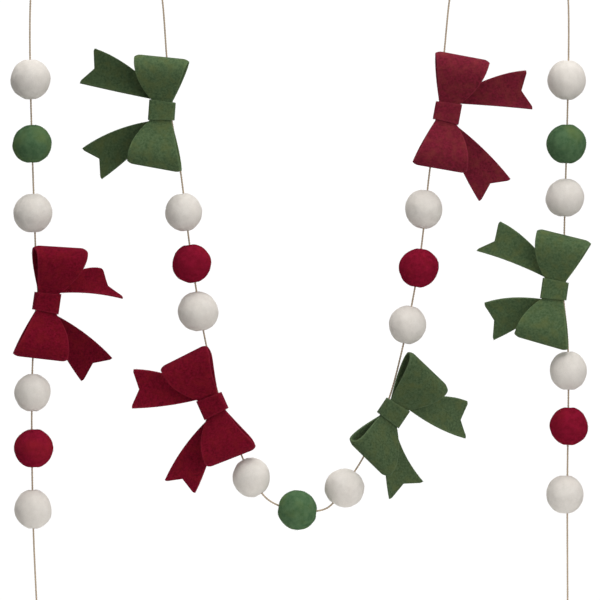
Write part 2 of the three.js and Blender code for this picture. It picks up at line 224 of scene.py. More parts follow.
jute, nodes, links, surface = shader("jute-twine")
surface.inputs["Roughness"].default_value = 0.9
surface.inputs["Sheen Weight"].default_value = 0.25
surface.inputs["Sheen Roughness"].default_value = 0.6
ply_place = nodes.new("ShaderNodeUVMap")
ply_place.uv_map = "ply"
stretch = nodes.new("ShaderNodeMapping")
stretch.inputs["Scale"].default_value = (14, 260, 1)
strands = nodes.new("ShaderNodeTexNoise")
strands.inputs["Scale"].default_value = 1
strands.inputs["Detail"].default_value = 4
strands.inputs["Roughness"].default_value = 0.7
shades = nodes.new("ShaderNodeValToRGB")
shades.color_ramp.elements[0].position = 0.3
shades.color_ramp.elements[0].color = (0.25, 0.17, 0.105, 1)
shades.color_ramp.elements[1].position = 0.72
shades.color_ramp.elements[1].color = (0.66, 0.53, 0.38, 1)
relief = nodes.new("ShaderNodeBump")
relief.inputs["Distance"].default_value = 0.12 * MM
relief.inputs["Strength"].default_value = 0.7
links.new(ply_place.outputs["UV"], stretch.inputs["Vector"])
links.new(stretch.outputs["Vector"], strands.inputs["Vector"])
links.new(strands.outputs["Fac"], shades.inputs["Fac"])
links.new(shades.outputs["Color"], surface.inputs["Base Color"])
links.new(strands.outputs["Fac"], relief.inputs["Height"])
links.new(relief.outputs["Normal"], surface.inputs["Normal"])

centres, along = smooth_line(np.array(ROUTE) * MM, RING_STEP)
tube, tube_faces, ply_places = twisted_cord(centres, along, TWINE / 2, TWINE_LAY, RING_SIDES)
chance = np.random.default_rng(3)
at = chance.integers(4, len(centres) - 4, STRAYS_ON_TWINE)
tangent = unit(np.gradient(centres, axis=0))[at]
out = unit(np.cross(tangent, unit(chance.normal(size=(STRAYS_ON_TWINE, 3)))))
fuzz = stray_fibres(
    centres[at] + out * TWINE * 0.38, out, chance.uniform(0.8, 2.0, STRAYS_ON_TWINE) * MM,
    FINE_FIBRE, seed=4, lift=0.4, curl=0.5)
points, faces = join_parts([(tube, tube_faces), fuzz])
string = mesh_piece("jute_string", points, faces, jute)
lay_uv(string, "ply", ply_places)
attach(string, "root")
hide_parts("string")

# Each end of the string is closed by an overhand knot, pulled tight, and its last fibres fray out
# under the knot. A trefoil drawn round the standing twine has the crossings of such a knot.
KNOTS = {"left": "knot-left", "right": "knot-right"}
KNOT_COIL = 0.62 * MM
KNOT_STEPS = 90
FRAYED = 60
FRAY_FIBRE = 0.06 * MM
knots = []
for side, node in KNOTS.items():
    low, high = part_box(node)
    middle = np.array((low + high) / 2)
    turn = np.linspace(0, 2 * math.pi, KNOT_STEPS, endpoint=False)
    ring = 2 + np.cos(3 * turn)
    trefoil = [ring * np.cos(2 * turn), ring * np.sin(2 * turn), 1.5 * np.sin(3 * turn)]
    coil = middle + np.stack(trefoil, axis=1) * KNOT_COIL
    steps = np.linalg.norm(np.roll(coil, -1, axis=0) - coil, axis=1)
    coiled = np.arange(len(coil)) * steps.mean()
    knot, knot_faces, knot_places = twisted_cord(
        coil, coiled, TWINE / 2, coiled[-1] / 8, RING_SIDES, closed=True)
    end = centres[0] if side == "left" else centres[-1]
    chance = np.random.default_rng(len(knots) + 20)
    spread = unit(np.stack([chance.normal(0, 1, FRAYED), chance.normal(0, 1, FRAYED),
                            chance.uniform(-0.2, 0.4, FRAYED)], axis=1))
    roots = end + spread * TWINE * 0.3 + np.array([0, 0, 0.4 * MM])
    lengths = chance.uniform(2.5, 6, FRAYED) * MM
    tuft, tuft_faces = stray_fibres(
        roots, spread, lengths, FRAY_FIBRE, seed=40 + len(knots), lift=0.12, curl=0.3)
    per = len(tuft) // FRAYED
    for i in range(FRAYED):
        for s in range(FIBRE_STATIONS + 1):
            drop = s / FIBRE_STATIONS
            start = i * per + 3 * s
            stop = start + (3 if s < FIBRE_STATIONS else 1)
            hang = spread[i] * (0.5 * drop**1.4) - np.array([0, 0, drop])
            centre = tuft[start:stop].mean(0)
            tuft[start:stop] += roots[i] + hang * lengths[i] - centre
    points, faces = join_parts([(knot, knot_faces), (tuft, tuft_faces)])
    piece = mesh_piece(f"string_knot_{side}", points, faces, jute)
    lay_uv(piece, "ply", knot_places)
    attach(piece, "root")
    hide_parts(node)
    knots.append(piece)

# The balls are wool, rolled wet into shape by hand: a little lumpy, matted and hairy all over.
# A needle has drawn the string through each, so its skin is pulled in where the string enters.
BALL = 26.4 * MM
LUMPS = ((11 * MM, 1.1 * MM), (3.6 * MM, 0.22 * MM))
PULL_DEPTH = 1.3 * MM
PULL_WIDTH = 1.9 * MM
HAIRS_ON_BALL = 420
CLOUD_SHOW = 0.65
# Strand, place on it in the order of threading, colour, and how wide and tall for its kind.
BALLS = [
    ("left", 1, "white", 0.95, 1.01),
    ("left", 2, "red", 1, 0.99),
    ("left", 3, "white", 0.93, 0.97),
    ("left", 4, "white", 1, 1),
    ("left", 5, "green", 1, 0.98),
    ("left", 6, "white", 1.02, 1.03),
    ("middle", 1, "white", 0.94, 0.97),
    ("middle", 2, "red", 1, 0.99),
    ("middle", 3, "white", 1.02, 1.02),
    ("middle", 4, "white", 0.95, 1.01),
    ("middle", 5, "green", 1, 1.02),
    ("middle", 6, "white", 1.02, 0.97),
    ("middle", 7, "white", 0.95, 0.98),
    ("middle", 8, "red", 1.02, 1),
    ("middle", 9, "white", 0.95, 1),
    ("right", 1, "white", 0.98, 1.02),
    ("right", 2, "green", 1.02, 1.01),
    ("right", 3, "white", 0.98, 0.98),
    ("right", 4, "white", 0.95, 0.99),
    ("right", 5, "red", 0.98, 0.98),
    ("right", 6, "white", 0.95, 0.98),
]
# Each dye's darker patches, lighter patches and the tint of its clouds.
WOOL = {
    "white": ((0.655, 0.615, 0.565), (0.71, 0.67, 0.62), (0.71, 0.66, 0.60)),
    "green": ((0.048, 0.104, 0.047), (0.082, 0.150, 0.071), (0.116, 0.160, 0.046)),
    "red": ((0.150, 0.0040, 0.015), (0.228, 0.0065, 0.026), (0.245, 0.0125, 0.016)),
}


def felt_fibre_group():
    """Matted fibres: a mask of loose strands, a mask of cloudy patches, and their height."""
    group = bpy.data.node_groups.new("felt-fibres", "ShaderNodeTree")
    face = group.interface
    face.new_socket("Vector", in_out="INPUT", socket_type="NodeSocketVector")
    for name, value in (("Strand Scale", 900), ("Patch Scale", 160), ("Wander", 0.0016)):
        face.new_socket(name, in_out="INPUT", socket_type="NodeSocketFloat").default_value = value
    for name in ("Strands", "Patches", "Clouds", "Height"):
        face.new_socket(name, in_out="OUTPUT", socket_type="NodeSocketFloat")
    nodes, links = group.nodes, group.links
    inside, outside = nodes.new("NodeGroupInput"), nodes.new("NodeGroupOutput")

    def noise(vector, scale, detail):
        node = nodes.new("ShaderNodeTexNoise")
        node.inputs["Detail"].default_value = detail
        node.inputs["Roughness"].default_value = 0.55
        links.new(vector, node.inputs["Vector"])
        links.new(scale, node.inputs["Scale"])
        return node

    def maths(operation, a, b=None, clamp=False):
        node = nodes.new("ShaderNodeMath")
        node.operation, node.use_clamp = operation, clamp
        for socket, value in zip(node.inputs, (a, b)):
            if isinstance(value, (int, float)):
                socket.default_value = value
            elif value is not None:
                links.new(value, socket)
        return node.outputs["Value"]

    place = inside.outputs["Vector"]
    wander = noise(place, inside.outputs["Patch Scale"], 3)
    bent = nodes.new("ShaderNodeVectorMath")
    bent.operation = "MULTIPLY_ADD"
    links.new(wander.outputs["Color"], bent.inputs[0])
    spread = nodes.new("ShaderNodeCombineXYZ")
    for axis in ("X", "Y", "Z"):
        links.new(inside.outputs["Wander"], spread.inputs[axis])
    links.new(spread.outputs["Vector"], bent.inputs[1])
    links.new(place, bent.inputs[2])
    coarse = noise(bent.outputs["Vector"], inside.outputs["Strand Scale"], 1.5)
    finer_scale = maths("MULTIPLY", inside.outputs["Strand Scale"], 2.3)
    finer = noise(bent.outputs["Vector"], finer_scale, 1.5)
    ridges = []
    for node in (coarse, finer):
        away = maths("ABSOLUTE", maths("SUBTRACT", node.outputs["Fac"], 0.5))
        ridges.append(maths("SUBTRACT", 1, maths("MULTIPLY", away, 9), clamp=True))
    strands = maths("MAXIMUM", ridges[0], maths("MULTIPLY", ridges[1], 0.75))
    links.new(strands, outside.inputs["Strands"])
    links.new(wander.outputs["Fac"], outside.inputs["Patches"])
    clouds = noise(place, maths("MULTIPLY", inside.outputs["Patch Scale"], 0.22), 2)
    ramp = maths("MULTIPLY", maths("SUBTRACT", clouds.outputs["Fac"], 0.45), 3.5, clamp=True)
    links.new(ramp, outside.inputs["Clouds"])
    raised = maths("MULTIPLY", strands, 0.45)
    height = maths("ADD", raised, maths("MULTIPLY", coarse.outputs["Fac"], 0.6))
    links.new(height, outside.inputs["Height"])
    return group


felt_fibres = felt_fibre_group()


def felt_material(name, dark, light, tint, strand_scale, patch_scale, strand_show, relief_depth,
                  painted_rim_light=0.0):
    """Felt in one dye: patches from dark to light, clouds of a tint and lighter strands.

    With painted_rim_light it is craft felt: painted rim light on its cut edges, painted light and
    shade on its tails.
    """
    material, nodes, links, surface = shader(name)
    surface.inputs["Roughness"].default_value = 0.95
    surface.inputs["Specular IOR Level"].default_value = 0.0
    if painted_rim_light:
        surface.inputs["Sheen Weight"].default_value = 0.3
        surface.inputs["Sheen Roughness"].default_value = 0.35
        surface.inputs["Sheen Tint"].default_value = (*[math.sqrt(l) for l in light], 1)
    else:
        surface.inputs["Sheen Weight"].default_value = 0.06
        surface.inputs["Sheen Roughness"].default_value = 0.5
        surface.inputs["Sheen Tint"].default_value = (*light, 1)
    place = nodes.new("ShaderNodeTexCoord")
    fibres = nodes.new("ShaderNodeGroup")
    fibres.node_tree = felt_fibres
    fibres.inputs["Strand Scale"].default_value = strand_scale
    fibres.inputs["Patch Scale"].default_value = patch_scale
    links.new(place.outputs["Object"], fibres.inputs["Vector"])
    cloudy = nodes.new("ShaderNodeMapRange")
    cloudy.inputs["From Min"].default_value = 0.34
    cloudy.inputs["From Max"].default_value = 0.66
    links.new(fibres.outputs["Patches"], cloudy.inputs["Value"])
    patches = nodes.new("ShaderNodeMix")
    patches.data_type = "RGBA"
    patches.inputs["A"].default_value = (*dark, 1)
    patches.inputs["B"].default_value = (*light, 1)
    links.new(cloudy.outputs["Result"], patches.inputs["Factor"])
    strands = nodes.new("ShaderNodeMix")
    strands.data_type = "RGBA"
    strands.inputs["B"].default_value = (*[min(1, l * 1.25 + 0.01) for l in light], 1)
    faint = nodes.new("ShaderNodeMath")
    faint.operation = "MULTIPLY"
    faint.inputs[1].default_value = strand_show
    links.new(fibres.outputs["Strands"], faint.inputs[0])
    links.new(faint.outputs["Value"], strands.inputs["Factor"])
    tinted = nodes.new("ShaderNodeMix")
    tinted.data_type = "RGBA"
    tinted.inputs["B"].default_value = (*tint, 1)
    thin = nodes.new("ShaderNodeMath")
    thin.operation = "MULTIPLY"
    thin.inputs[1].default_value = CLOUD_SHOW
    links.new(fibres.outputs["Clouds"], thin.inputs[0])
    links.new(thin.outputs["Value"], tinted.inputs["Factor"])
    links.new(patches.outputs["Result"], tinted.inputs["A"])
    links.new(tinted.outputs["Result"], strands.inputs["A"])
    colour = strands.outputs["Result"]
    # Painted rim light: the cut edges and their fuzz are mixed towards a paler colour.
    if painted_rim_light:
        edge = nodes.new("ShaderNodeAttribute")
        edge.attribute_name = "cut_edge"
        paler = nodes.new("ShaderNodeMath")
        paler.operation = "MULTIPLY"
        paler.inputs[1].default_value = painted_rim_light
        edges = nodes.new("ShaderNodeMix")
        edges.data_type = "RGBA"
        edges.inputs["B"].default_value = (*[min(1, l * 1.5 + 0.015) for l in light], 1)
        links.new(edge.outputs["Fac"], paler.inputs[0])
        links.new(paler.outputs["Value"], edges.inputs["Factor"])
        links.new(colour, edges.inputs["A"])
        # Painted light and shade: the colour is multiplied by a factor kept on the mesh.
        painted_shading = nodes.new("ShaderNodeAttribute")
        painted_shading.attribute_name = "painted_shading"
        painted_shading_layer = nodes.new("ShaderNodeMix")
        painted_shading_layer.data_type, painted_shading_layer.blend_type = "RGBA", "MULTIPLY"
        painted_shading_layer.inputs["Factor"].default_value = 1
        links.new(edges.outputs["Result"], painted_shading_layer.inputs["A"])
        links.new(painted_shading.outputs["Color"], painted_shading_layer.inputs["B"])
        colour = painted_shading_layer.outputs["Result"]
    links.new(colour, surface.inputs["Base Color"])
    relief = nodes.new("ShaderNodeBump")
    relief.inputs["Strength"].default_value = 0.8
    relief.inputs["Distance"].default_value = relief_depth
    links.new(fibres.outputs["Height"], relief.inputs["Height"])
    links.new(relief.outputs["Normal"], surface.inputs["Normal"])
    return material


wool = {
    colour: felt_material(f"{colour}-wool", *colours, strand_scale=1100, patch_scale=300,
                          strand_show=0.3, relief_depth=0.22 * MM)
    for colour, colours in WOOL.items()
}

bpy.ops.object.select_all(action="DESELECT")
bpy.ops.mesh.primitive_ico_sphere_add(
    subdivisions=5, radius=BALL / 2 - 0.1 * MM, location=(0, 0, 0))
model = bpy.context.object
for size, depth in LUMPS:
    lumps = bpy.data.textures.new("wool lumps", "CLOUDS")
    lumps.noise_scale = size
    lumps.noise_depth = 1
    push = model.modifiers.new("lumps", "DISPLACE")
    push.texture, push.strength, push.mid_level = lumps, depth, 0.5
    bpy.ops.object.modifier_apply(modifier=push.name)
skin = np.array([v.co for v in model.data.vertices])
from_string = np.hypot(skin[:, 0], skin[:, 1])
pull = PULL_DEPTH * np.exp(-((from_string / PULL_WIDTH) ** 2))
skin[:, 2] -= np.sign(skin[:, 2]) * pull
model.data.vertices.foreach_set("co", skin.ravel())
model.data.update()
normals = np.array([v.normal for v in model.data.vertices])
chance = np.random.default_rng(11)
roots = chance.integers(0, len(skin), HAIRS_ON_BALL)
hairs = stray_fibres(
    skin[roots] - normals[roots] * 0.08 * MM, normals[roots],
    chance.uniform(1.0, 3.4, HAIRS_ON_BALL) * MM, FINE_FIBRE, seed=12, lift=0.22, curl=0.9)
skin_faces = [tuple(p.vertices) for p in model.data.polygons]
ball_points, ball_faces = join_parts([(skin, skin_faces), hairs])
bpy.data.objects.remove(model)

turns = random.Random(5)
for strand, place, colour, wide, tall in BALLS:
    node = f"ball-{strand}-{place}"
    low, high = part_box(node)
    middle = np.array((low + high) / 2)
    near = int(np.argmin(np.linalg.norm(centres - middle, axis=1)))
    way = Vector(unit(centres[near + 8] - centres[near - 8]))
    stand = way.to_track_quat("Z", "X").to_matrix()
    spin = Matrix.Rotation(turns.uniform(0, 2 * math.pi), 3, "Z")
    flip = Matrix.Rotation(math.pi * turns.randint(0, 1), 3, "X")
    turn = np.array(stand @ spin @ flip)
    placed = ball_points @ turn.T
    placed *= (wide, wide, tall)
    piece = mesh_piece(f"felt_ball_{strand}_{place}", placed + middle, ball_faces, wool[colour])
    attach(piece, "root")
    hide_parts(node)

# Each bow is craft felt 1.5 mm thick: one strip folded into two loops, one flat piece cut to a
# chevron for the tails behind them, and a narrow strip wrapped round the waist of both.
FELT = 1.5 * MM
FELT_FIBRE = 0.03 * MM
# A cut edge is rounded in steps: how far in and how thick each is, in halves of the felt.
EDGE_INSET = 0.35
EDGE_STEPS = ((0.08, 0.86), (0.0, 0.42))
# Painted rim light beside a cut edge and on the fuzz along it, as shares of its strength on the
# edge.
RIM_LIGHT_BESIDE_EDGE = 0.7
RIM_LIGHT_ON_FUZZ = 0.8
LAYER = FELT + 0.3 * MM
WRAP_HALF_HEIGHT = 6.4 * MM
WRAP_FLARE = 0.06
WRAP_CORNER = 1.2 * MM
WRAP_BULGE = 0.3 * MM
WRAP_FELT = 1.2 * MM
WRAP_SLACK = 0.15 * MM
WRAP_CLEAR = 0.05 * MM
WRAP_STEP = 0.7 * MM
WRAP_COLUMNS = 11
LAP_GAP = 0.1 * MM
LAP_START = 2.2 * MM
LAP_END = 1.5 * MM
PINCH = WRAP_HALF_HEIGHT + 0.9 * MM
LOOP_PINCH = WRAP_HALF_HEIGHT + 0.45 * MM
LOOP_ROWS, LOOP_COLUMNS = 100, 27
LOOP_HELD = 1 / 11
LOOP_ENDS_GAP = 0.3 * MM
# The string runs along one side of the wrap, and the tails point away from the other side.
WAIST = {"string": 7.9 * MM, "tails": 6.4 * MM}
FOLD = {"string": 19 * MM, "tails": 17.2 * MM}
FULLNESS = {"string": 1.25, "tails": 2.3}
# A loop from the side: shares of its reach, each with a depth or with a share of its opening.
BACK_LINE = ((0.5, -0.1 * MM), (1, 1.1 * MM))
FOLD_TURN = 0.36
BROW = (0.965, 0.9)
SWELL = (0.66, 1.2)
FLAT_UNTIL = 0.36
TAIL_ROWS, TAIL_COLUMNS = 70, 23
TAIL_HELD = 1 / 6
TAIL_BOW = 0.62
TAIL_ROOT = {"string": -3.8 * MM, "tails": 6.4 * MM}
SWING_FROM = 2 * MM
SWING_EASE = 6 * MM
ROUND_FROM = 0.8
TIP_ROUND = 1.1 * MM
CORNER_ROUND = 1.4 * MM
STRING_SEAT = Vector((-6.6 * MM, LAYER, 0))
CRAFT = {
    "green": ((0.039, 0.072, 0.031), (0.092, 0.141, 0.064), (0.113, 0.132, 0.041)),
    "deep green": ((0.034, 0.058, 0.026), (0.076, 0.114, 0.053), (0.092, 0.106, 0.034)),
    "red": ((0.080, 0.0018, 0.0070), (0.184, 0.0048, 0.0188), (0.178, 0.0088, 0.0118)),
    "dusty red": ((0.088, 0.0085, 0.0150), (0.198, 0.0150, 0.0330), (0.192, 0.0350, 0.0280)),
}
# Two bows are cut from another lot of the same dye.
DYE_LOTS = {"lower-right": "deep green", "upper-right": "dusty red"}
# Painted shade and light on each bow's second and first tail, a factor on the felt's colour.
PAINTED_TAIL_SHADING = {
    "left": (0.66, 0.98),
    "upper-left": (0.64, 0.70),
    "lower-left": (1.28, 1.08),
    "lower-right": (1, 1.06),
    "upper-right": (0.82, 0.80),
    "right": (0.96, 0.90),
}
# Over this share of the tails' piece the painted shading passes from one tail's factor to the
# other's.
PAINTED_SHADING_BLEND = (0.45, 0.55)
# Lengths are in mm and angles in degrees. On the string's side, trim narrows the fold and shoulder
# rounds the loop out. Belly swells its front. Arch and hem bow the two edges of a tail.
LOOP_VALUES = ("reach", "open", "lean", "twist", "tilt", "trim", "belly", "shoulder")
TAIL_VALUES = ("way", "length", "cut", "width", "notch", "swing", "arch", "hem")
# Name, colour, the string's middle in the wrap, heading and turn, two loops, two tails.
BOWS = [
    ("left", "red", (-174.7, 0, -215.8), 8.2, 14,
     (38.1, 17, 3.6, 6, 4.5, 0, 1.1, 0), (37.8, 12, 1, -6, -1.5, 0, 1.2, 0),
     (23.2, 49, 19, 24.1, 4, 16, 19, 3.5), (44, 58.3, 3, 26.5, 6.2, 8, 13.5, -4.5)),
    ("upper-left", "green", (-86.3, 0, -89.2), 184, 6,
     (38.5, 13, 3, 0, -6.4, 0, 1.22, 0), (35.7, 14, 3.4, 0, 2, 0, 1.22, 0),
     (40.4, 60, -3.4, 24.8, 7, 8, 13.5, -6), (27, 60.2, -8, 25.3, 6.1, 8, 18, -0.5)),
    ("lower-left", "red", (-52.9, 0, -282.9), 156, 12,
     (37.4, 15, 2.8, -9, -2.5, 1.5, 1.15, 1.1), (38.3, 15.5, 5.5, -7, -2.7, 2.2, 1.22, 1.3),
     (43, 61, 2, 22.6, 6.6, 6, 13.5, -5), (34, 57.6, -6.5, 26.7, 5.4, 9, 18, -2.5)),
    ("lower-right", "green", (57.3, 0, -286.7), 34, 22,
     (37.7, 19, 1.8, -2, -9, 0, 0.65, 0), (36, 18, 0.4, 4, 9.6, 0, 0.8, 0),
     (25, 55.8, 7, 25.3, 5, 8, 18, -4), (43, 57.5, -11, 26.4, 6.3, 6, 13.5, 5)),
    ("upper-right", "red", (92.5, 0, -88.9), 10.4, 4,
     (38.9, 13, 5.4, 0, 0, 0, 1.22, 0), (38.2, 13, 2, 0, -0.6, 0, 1.22, 0),
     (26, 58.6, -7, 26.2, 6.2, 10, 18, 0.5), (48, 61.6, -3, 26, 6.4, 6, 13.5, -3.5)),
    ("right", "green", (175.4, 0, -209), 188, 8,
     (36.8, 12, 6.8, 0, -8, 0, 1.22, 0), (37.2, 14, -3.8, 0, 6, 0, 1.22, 0),
     (33, 50.3, -11, 25.6, 4.3, 14, 13.5, -4.5), (31, 58.3, 0, 25.3, 6.4, 8, 18, 2.5)),
]
# Craft felt carries painted rim light on its cut edges.
craft = {
    colour: felt_material(f"{colour}-craft", *colours, strand_scale=1500, patch_scale=700,
                          strand_show=0.34, relief_depth=0.24 * MM, painted_rim_light=0.42)
    for colour, colours in CRAFT.items()
}


def bezier(points, t):
    """A Bezier line through the plane, at every t."""
    points = [np.array(p, float) for p in points]
    while len(points) > 1:
        points = [a + (b - a) * t[:, None] for a, b in zip(points, points[1:])]
    return points[0]


def felt_piece(name, middles, material, seed, half=FELT / 2, hairs=260, round_ends=True,
               painted_shading=(1, 1)):
    """A piece of felt round a grid of middle points: two faces and cut edges with soft corners."""
    rows, columns = middles.shape[:2]
    along = unit(np.gradient(middles, axis=0))
    across = unit(np.gradient(middles, axis=1))
    normals = unit(np.cross(along, across))
    centre = middles.copy()
    centre[:, 0] += across[:, 0] * half * EDGE_INSET
    centre[:, -1] -= across[:, -1] * half * EDGE_INSET
    if round_ends:
        centre[0] += along[0] * half * EDGE_INSET
        centre[-1] -= along[-1] * half * EDGE_INSET
    ends = [(0, inset, thick) for inset, thick in reversed(EDGE_STEPS)] if round_ends else []
    sections = ends + [(i, None, 1.0) for i in range(rows)]
    sections += [(rows - 1, inset, thick) for inset, thick in EDGE_STEPS] if round_ends else []
    rings, edges, painted_shading_rows = [], [], []
    for i, inset, thick in sections:
        line, normal = centre[i].copy(), normals[i] * half * thick
        if inset is not None:
            outward = -along[i] if i == 0 else along[i]
            line += outward * half * (EDGE_INSET - inset)
        front, back = line + normal, line - normal
        rim_high, rim_low = [], []
        for inset_side, thin in EDGE_STEPS:
            shift = half * (EDGE_INSET - inset_side)
            rim_high.append((line[-1] + across[i, -1] * shift, normal[-1] * min(1, thin / thick)))
            rim_low.append((line[0] - across[i, 0] * shift, normal[0] * min(1, thin / thick)))
        ring = [*front, *[c + n for c, n in rim_high], *[c - n for c, n in reversed(rim_high)],
                *back[::-1], *[c - n for c, n in rim_low], *[c + n for c, n in reversed(rim_low)]]
        rings.append(np.array(ring))
        # Where the painted rim light lies: on the cut edges, a little less beside them, all over an
        # end.
        rim_light_mask = np.zeros(len(ring))
        rim_light_mask[columns: columns + 4] = 1
        rim_light_mask[2 * columns + 4:] = 1
        rim_light_mask[[columns - 1, columns + 4, 0, 2 * columns + 3]] = RIM_LIGHT_BESIDE_EDGE
        if inset is not None:
            rim_light_mask[:] = 1
        edges.append(rim_light_mask)
        # Painted light and shade, one factor for each row of the piece.
        painted_shading_rows.append(np.interp(i / (rows - 1), PAINTED_SHADING_BLEND, painted_shading))
    rings, edges = np.array(rings), np.array(edges).ravel()
    around = rings.shape[1]
    faces = []
    for i in range(len(rings) - 1):
        for k in range(around):
            m = (k + 1) % around
            here, there = i * around, (i + 1) * around
            faces.append((here + k, there + k, there + m, here + m))
    over = (around - 2, around - 1, *range(columns + 2))
    under = (around - 3, around - 4, *range(2 * columns + 3, columns + 1, -1))
    for i, flipped in ((0, False), (len(rings) - 1, True)):
        top = [i * around + k for k in over]
        bottom = [i * around + k for k in under]
        for a, b, c, d in zip(top, top[1:], bottom[1:], bottom):
            faces.append((d, c, b, a) if flipped else (a, b, c, d))
    points = rings.reshape(-1, 3)
    chance = np.random.default_rng(seed)
    rim = np.array([i * around + k for i in range(len(rings))
                    for k in (*range(columns, columns + 4), *range(2 * columns + 4, around))])
    if round_ends:
        last = np.arange((len(rings) - 1) * around, len(points))
        rim = np.concatenate([rim, np.arange(around), last])
    picked = chance.choice(rim, hairs)
    row = picked // around
    hub = rings.mean(axis=1)[row]
    out = unit(points[picked] - hub + chance.normal(0, 0.2 * MM, (hairs, 3)))
    fuzz = stray_fibres(
        points[picked] - out * 0.05 * MM, out, chance.uniform(0.6, 1.8, hairs) * MM,
        FELT_FIBRE, seed=seed + 1, lift=0.5, curl=0.8)
    all_points, all_faces = join_parts([(points, faces), fuzz])
    piece = mesh_piece(name, all_points, all_faces, material)
    # The painted rim light mask, on the felt and on its fuzz.
    rim_light_mask = piece.data.attributes.new("cut_edge", "FLOAT", "POINT")
    full = np.concatenate([edges, np.full(len(fuzz[0]), RIM_LIGHT_ON_FUZZ)])
    rim_light_mask.data.foreach_set("value", full.astype(np.float32))
    # The painted shading factors, on the felt and on the fuzz of each row.
    painted_shading_layer = piece.data.attributes.new("painted_shading", "FLOAT", "POINT")
    on_fuzz = np.repeat(np.array(painted_shading_rows)[row], len(fuzz[0]) // hairs)
    full = np.concatenate([np.repeat(painted_shading_rows, around), on_fuzz])
    painted_shading_layer.data.foreach_set("value", full.astype(np.float32))
    return piece


def rounding(across):
    """How much is rounded off at this share of the half width: none before ROUND_FROM."""
    return max(0, (abs(across) - ROUND_FROM) / (1 - ROUND_FROM)) ** 2


def loop_grid(loop, rows, columns):
    """One loop from the middle of the back, round its fold, to the middle of the front."""
    reach, opening = loop["reach"] * MM, loop["open"] * MM
    lean, twist, tilt = (math.radians(loop[k]) for k in ("lean", "twist", "tilt"))
    far, held = reach - FELT / 2, LOOP_HELD
    u = np.linspace(0, 1, rows)
    t = np.clip(2 * (u - held) / (1 - 2 * held), 0, 2)
    fold = (far, -FOLD_TURN * opening)
    sag = [(share * far, y) for share, y in BACK_LINE]
    back = bezier([(LOOP_PINCH, 0), *sag, fold], np.minimum(t, 1))
    brow = (BROW[0] * far, -BROW[1] * opening)
    belly = (SWELL[0] * far, -SWELL[1] * loop["belly"] * opening)
    flat = [(FLAT_UNTIL * far, -LAYER), (LOOP_PINCH, -LAYER)]
    front = bezier([fold, brow, belly, *flat], np.clip(t - 1, 0, 1))
    line = np.where((t < 1)[:, None], back, front)
    start, stop = u <= held, u >= 1 - held
    from_end = LOOP_ENDS_GAP + (LOOP_PINCH - LOOP_ENDS_GAP) * u[start] / held
    line[start] = np.stack([from_end, 0 * u[start]], axis=1)
    line[stop] = np.stack([LOOP_PINCH * (1 - u[stop]) / held, 0 * u[stop] - LAYER], axis=1)
    grown_reach = np.maximum(0, line[:, 0] - LOOP_PINCH)
    grown = np.minimum(1, grown_reach / (far - LOOP_PINCH))
    v = np.linspace(-1, 1, columns)
    grid = np.zeros((rows, columns, 3))
    for j, across in enumerate(v):
        side = "string" if across < 0 else "tails"
        trim, shoulder = (loop["trim"] * MM, loop["shoulder"] * MM) if across < 0 else (0, 0)
        spread = FOLD[side] - WAIST[side] - trim
        width = WAIST[side] + spread * (1 - (1 - grown) ** FULLNESS[side])
        width = width + shoulder * np.sin(math.pi * grown**3)
        rounded = CORNER_ROUND * rounding(across) * grown**8
        x, y, turn = across * width, line[:, 1], twist * grown
        grid[:, j, 0] = x * np.cos(turn) - y * np.sin(turn) + grown_reach * math.tan(lean)
        grid[:, j, 1] = x * np.sin(turn) + y * np.cos(turn)
        grid[:, j, 2] = line[:, 0] + x * math.tan(tilt) * grown - rounded
    return grid


def tail_grid(tail, sign, rows, columns):
    """One tail from under the wrap, along its two bowed edges, to its notched end."""
    size = {k: tail[k] * MM for k in ("length", "width", "notch", "arch", "hem")}
    way, cut, swing = (math.radians(tail[k]) for k in ("way", "cut", "swing"))
    far_along = np.array([math.cos(way), math.sin(way)])
    across = np.array([-far_along[1], far_along[0]])
    spread = np.array([across[0] * math.cos(cut) - across[1] * math.sin(cut),
                       across[0] * math.sin(cut) + across[1] * math.cos(cut)])
    end = far_along * size["length"]
    dent = -np.array([spread[1], -spread[0]]) * size["notch"]
    outer_tip, inner_tip = end + spread * size["width"] / 2, end - spread * size["width"] / 2
    outer_root = np.array([TAIL_ROOT["string"], PINCH])
    inner_root = np.array([TAIL_ROOT["tails"], PINCH])
    held = TAIL_HELD
    far = np.linspace(0, 1, rows)
    t = np.clip((far - held) / (1 - held), 0, 1)
    bowed = far_along * TAIL_BOW * size["length"] + across * size["arch"]
    outer = bezier([outer_root, bowed, outer_tip], t)
    inner = bezier([inner_root, (inner_root + inner_tip) / 2 + across * size["hem"], inner_tip], t)
    grid = np.zeros((rows, columns, 3))
    for j, v in enumerate(np.linspace(-1, 1, columns)):
        pulled = dent * (1 - abs(v)) - far_along * TIP_ROUND * rounding(v)
        flat = inner + (outer - inner) * (v + 1) / 2 + pulled * (t * t)[:, None]
        kept = far <= held
        flat[kept, 0] = inner_root[0] + (outer_root[0] - inner_root[0]) * (v + 1) / 2
        flat[kept, 1] = PINCH * far[kept] / held
        free = 1 - np.exp(-np.maximum(0, flat[:, 1] - PINCH) / SWING_EASE)
        out = np.maximum(0, flat[:, 0] - SWING_FROM) * free
        grid[:, j, 0] = flat[:, 0] - out * (1 - math.cos(swing))
        grid[:, j, 1] = LAYER + out * math.sin(swing)
        grid[:, j, 2] = sign * flat[:, 1]
    return grid


